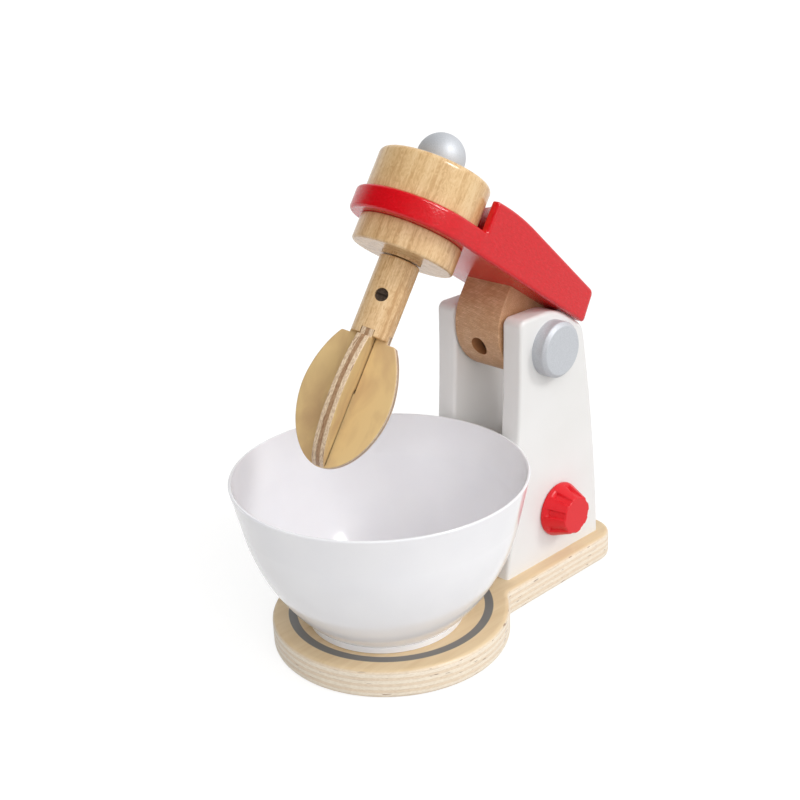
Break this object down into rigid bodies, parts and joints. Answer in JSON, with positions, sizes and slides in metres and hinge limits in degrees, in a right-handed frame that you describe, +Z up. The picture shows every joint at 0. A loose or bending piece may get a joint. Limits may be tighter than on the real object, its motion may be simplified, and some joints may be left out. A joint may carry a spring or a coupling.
{
  "type": "toy stand mixer",
  "caption": "Wooden toy stand mixer: tilting red arm on a white column, turning beater with crossed leaf blades, side knob, plywood base and a loose white bowl",
  "frame": {"origin": "centre of the round end of the base, on the surface that the base stands on", "axes": "+Z up, -Y toward the bowl end, +X toward the side with the knob"},
  "size_m": [0.117, 0.1795, 0.1987],
  "materials": {
    "birch_ply": "clear-varnished birch plywood, layered edges, with a dark grey painted ring",
    "beech": "turned beech, satin clear varnish",
    "dark_beech": "steamed beech, satin clear varnish",
    "blade_ply": "thin birch plywood, satin varnish",
    "red_paint": "wood with gloss red paint",
    "white_paint": "wood with satin white paint",
    "silver_paint": "wood with silver paint",
    "red_plastic": "moulded red plastic",
    "white_plastic": "moulded glossy white plastic",
    "steel": "zinc-plated steel",
    "washer_fibre": "dark fibre washer"
  },
  "bodies": {
    "base": {"base_board": "birch_ply", "base_screws": "steel", "cheek_left": "white_paint", "cheek_right": "white_paint", "spine": "white_paint", "cheek_dowels": "beech", "hinge_cap_left": "silver_paint", "hinge_cap_right": "silver_paint", "hinge_washers": "washer_fibre"},
    "head": {"hinge_block": "dark_beech", "hinge_pin": "steel", "block_screw": "steel", "block_dowels": "beech", "arm": "red_paint", "lower_disc": "beech", "collar": "beech"},
    "beater": {"upper_drum": "beech", "ball_knob": "silver_paint", "spindle": "beech", "beater_holder": "beech", "holder_screw": "steel", "blade_side": "blade_ply", "blade_front": "blade_ply"},
    "knob": {"knob": "red_plastic", "knob_screw": "steel"},
    "bowl": {"bowl": "white_plastic"}
  },
  "joints": [
    {"name": "head_tilt", "type": "hinge", "parent": "base", "child": "head", "pos_m": [0, 0.0743, 0.1083], "axis": [1, 0, 0], "range_deg": [0, 34]},
    {"name": "beater_spin", "type": "hinge", "parent": "head", "child": "beater", "pos_m": [0, 0.02359, 0.16868], "axis": [0, 0.5592, 0.829], "continuous": true},
    {"name": "knob_turn", "type": "hinge", "parent": "base", "child": "knob", "pos_m": [0.0233, 0.0794, 0.0334], "axis": [1, 0, 0], "continuous": true},
    {"name": "bowl_lift", "type": "slide", "parent": "base", "child": "bowl", "axis": [0, 0, 1], "range_m": [0, 0.012]}
  ]
}
